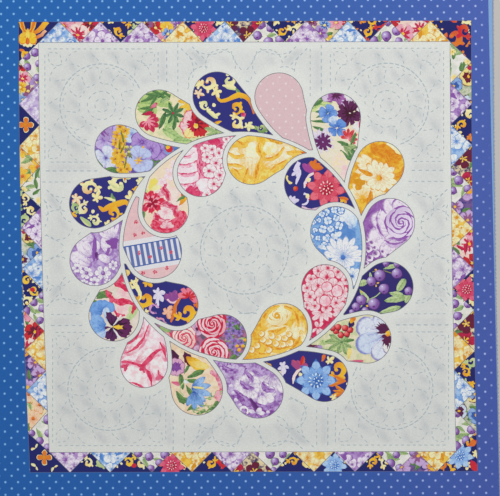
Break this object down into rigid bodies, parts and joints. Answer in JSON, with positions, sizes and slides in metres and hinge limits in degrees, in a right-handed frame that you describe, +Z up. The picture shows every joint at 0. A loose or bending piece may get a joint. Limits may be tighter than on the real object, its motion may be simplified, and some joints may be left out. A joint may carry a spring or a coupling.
{
  "type": "printed patchwork quilt panel",
  "caption": "Flat square of printed cotton: a pieced feather wreath on quilted white, a frame of triangles, a dotted blue border and a frayed loom edge.",
  "frame": {"origin": "middle of the laid cloth's box, on the surface it lies on", "axes": "+Z up out of the printed face, +X towards the loom edge on the right of the design, +Y towards its top edge"},
  "size_m": [0.5814, 0.5802, 0.0021],
  "materials": {
    "printed_cotton": "matt plain-weave cotton, printed on its face, the print showing through faintly on its back",
    "loom_edge_thread": "matt loose cotton thread ends, pale blue"
  },
  "bodies": {
    "root": {"quilt_panel": "printed_cotton", "selvedge_fringe": "loom_edge_thread"}
  },
  "joints": []
}
